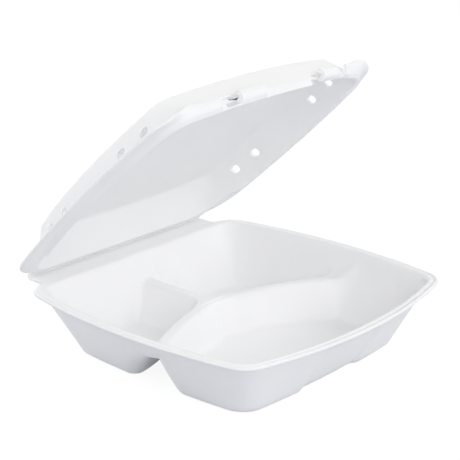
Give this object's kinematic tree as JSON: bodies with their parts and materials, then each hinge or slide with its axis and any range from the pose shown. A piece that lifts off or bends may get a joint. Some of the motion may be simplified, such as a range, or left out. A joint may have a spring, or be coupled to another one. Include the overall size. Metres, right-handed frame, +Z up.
{
  "type": "hinged-lid foam food container",
  "caption": "White foam take-out food container, open: a bowed square tray divided into compartments, with a shallow vented lid on a living hinge and a corner thumb tab.",
  "frame": {"origin": "middle of the tray's standing plane, under the large compartment's floor", "axes": "+X along the fold, +Y from the front to the fold, +Z up"},
  "size_m": [0.235, 0.232, 0.2015],
  "materials": {
    "foam": "satin white expanded polystyrene sheet"
  },
  "bodies": {
    "tray": {"tray": "foam"},
    "lid": {"lid": "foam"}
  },
  "joints": [
    {"name": "lid_fold", "type": "hinge", "parent": "tray", "child": "lid", "pos_m": [0, 0.1134, 0.04715], "axis": [-1, 0, 0], "range_deg": [-42.7, 137.3]}
  ]
}
